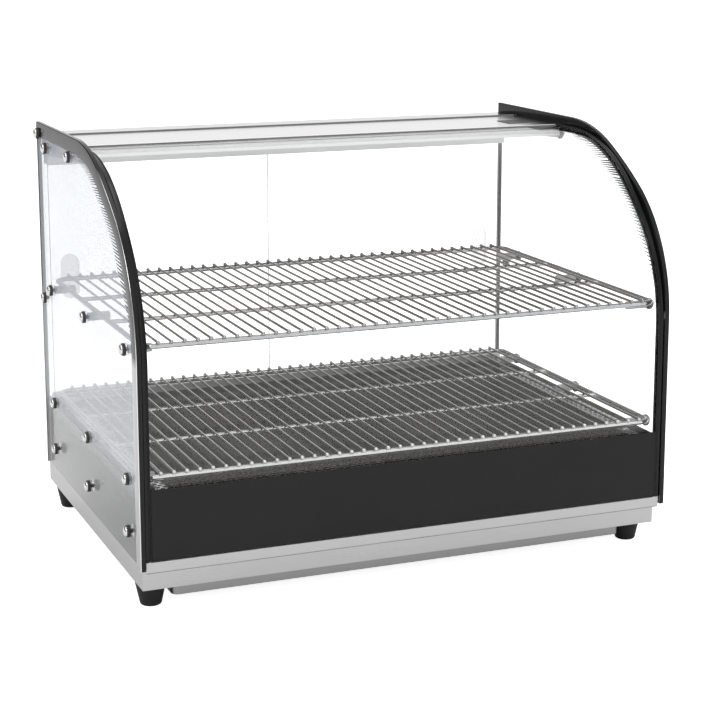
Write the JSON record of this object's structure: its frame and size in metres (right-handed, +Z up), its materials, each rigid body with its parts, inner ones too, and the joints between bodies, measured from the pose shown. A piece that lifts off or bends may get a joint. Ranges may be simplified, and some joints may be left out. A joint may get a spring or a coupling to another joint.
{
  "type": "hot food display case",
  "caption": "Countertop hot food display case: curved front glass, glass ends in black edging, wire racks, sliding rear glass doors, steel base on rubber feet.",
  "frame": {"origin": "centre of the footprint on the counter, at the bottom of the feet", "axes": "+Z up, +Y towards the operator's side with the sliding doors, -Y towards the customer's curved glass, +X to the right seen from the customer's side"},
  "size_m": [0.6712, 0.488, 0.504],
  "materials": {
    "steel_brushed": "stainless steel, fine brushed grain along X",
    "steel_sheet": "stainless sheet, satin",
    "steel_perforated": "stainless sheet with staggered round holes",
    "steel_cover": "stainless sheet, soft satin",
    "black_panel": "black powder coat, satin",
    "black_edging": "black enamel, glossy",
    "black_channel": "black enamel, semi-gloss",
    "curved_glass": "clear curved tempered glass",
    "side_glass": "clear tempered glass with a dark printed border that fades out in fine strokes",
    "door_glass": "clear tempered glass with ground edges",
    "pull_plastic": "pale translucent, satin",
    "track_aluminium": "anodised, satin",
    "rack_chrome": "bright plated wire",
    "peg_plastic": "pale translucent nylon",
    "screw_chrome": "polished",
    "washer_black": "matt black",
    "gasket_black": "matt black silicone",
    "foot_rubber": "matt black rubber, faint mould texture",
    "heater_steel": "heat-darkened sheath",
    "lamp_glass": "frosted lamp tube",
    "socket_plastic": "pale heat-proof moulding",
    "shaft_steel": "turned steel",
    "knob_plastic": "black moulding with a pale pointer line",
    "switch_plastic": "black moulding",
    "rocker_plastic": "red moulding",
    "pilot_plastic": "amber lens",
    "gland_plastic": "black nylon"
  },
  "bodies": {
    "case": {"base_frame": "steel_brushed", "canopy_end_left": "steel_sheet", "canopy_end_right": "steel_sheet", "canopy_fascia": "steel_cover", "canopy_liner": "steel_sheet", "chassis_side_left": "steel_sheet", "chassis_side_right": "steel_sheet", "cord_gland": "gland_plastic", "cover_gaskets": "gasket_black", "deck_plate": "steel_sheet", "edge_trim_left": "black_edging", "edge_trim_right": "black_edging", "foot_front_left": "foot_rubber", "foot_front_right": "foot_rubber", "foot_nuts": "screw_chrome", "foot_rear_left": "foot_rubber", "foot_rear_right": "foot_rubber", "foot_screws": "screw_chrome", "front_channel_left": "black_channel", "front_channel_right": "black_channel", "front_glass": "curved_glass", "front_panel": "black_panel", "front_strip": "steel_brushed", "heater_saddles": "steel_sheet", "heating_element": "heater_steel", "lamp_holder_left": "socket_plastic", "lamp_holder_right": "socket_plastic", "lamp_tube": "lamp_glass", "light_switch_body": "switch_plastic", "lower_door_track": "track_aluminium", "pilot_lamp": "pilot_plastic", "power_switch_body": "switch_plastic", "rack_pegs": "peg_plastic", "rear_panel": "steel_sheet", "rear_seal_left": "black_edging", "rear_seal_right": "black_edging", "side_glass_left": "side_glass", "side_glass_right": "side_glass", "side_screws": "screw_chrome", "side_spacers": "screw_chrome", "side_washers": "washer_black", "terminal_block": "socket_plastic", "thermostat_body": "socket_plastic", "top_panel": "steel_cover", "top_rear_rail": "steel_cover", "under_pan": "steel_brushed", "upper_door_track": "track_aluminium", "vent_strip_front": "steel_perforated", "vent_strip_left": "steel_perforated", "vent_strip_right": "steel_perforated"},
    "door_left": {"door_left_glass": "door_glass", "door_left_pull": "pull_plastic"},
    "door_right": {"door_right_glass": "door_glass", "door_right_pull": "pull_plastic"},
    "upper_rack": {"upper_rack": "rack_chrome"},
    "lower_rack": {"lower_rack": "rack_chrome"},
    "thermostat_knob": {"thermostat_knob": "knob_plastic", "thermostat_shaft": "shaft_steel"},
    "power_rocker": {"power_rocker": "rocker_plastic"},
    "light_rocker": {"light_rocker": "rocker_plastic"}
  },
  "joints": [
    {"name": "door_left_slide", "type": "slide", "parent": "case", "child": "door_left", "axis": [1, 0, 0], "range_m": [0, 0.29]},
    {"name": "door_right_slide", "type": "slide", "parent": "case", "child": "door_right", "axis": [-1, 0, 0], "range_m": [0, 0.29]},
    {"name": "upper_rack_lift", "type": "slide", "parent": "case", "child": "upper_rack", "axis": [0, 0, 1], "range_m": [0, 0.01]},
    {"name": "lower_rack_lift", "type": "slide", "parent": "case", "child": "lower_rack", "axis": [0, 0, 1], "range_m": [0, 0.06]},
    {"name": "thermostat_turn", "type": "hinge", "parent": "case", "child": "thermostat_knob", "pos_m": [-0.23, 0.236, 0.096], "axis": [0, 1, 0], "range_deg": [0, 270]},
    {"name": "power_rock", "type": "hinge", "parent": "case", "child": "power_rocker", "pos_m": [-0.15, 0.226, 0.096], "axis": [1, 0, 0], "range_deg": [-20, 0]},
    {"name": "light_rock", "type": "hinge", "parent": "case", "child": "light_rocker", "pos_m": [-0.105, 0.226, 0.096], "axis": [1, 0, 0], "range_deg": [-20, 0]}
  ]
}
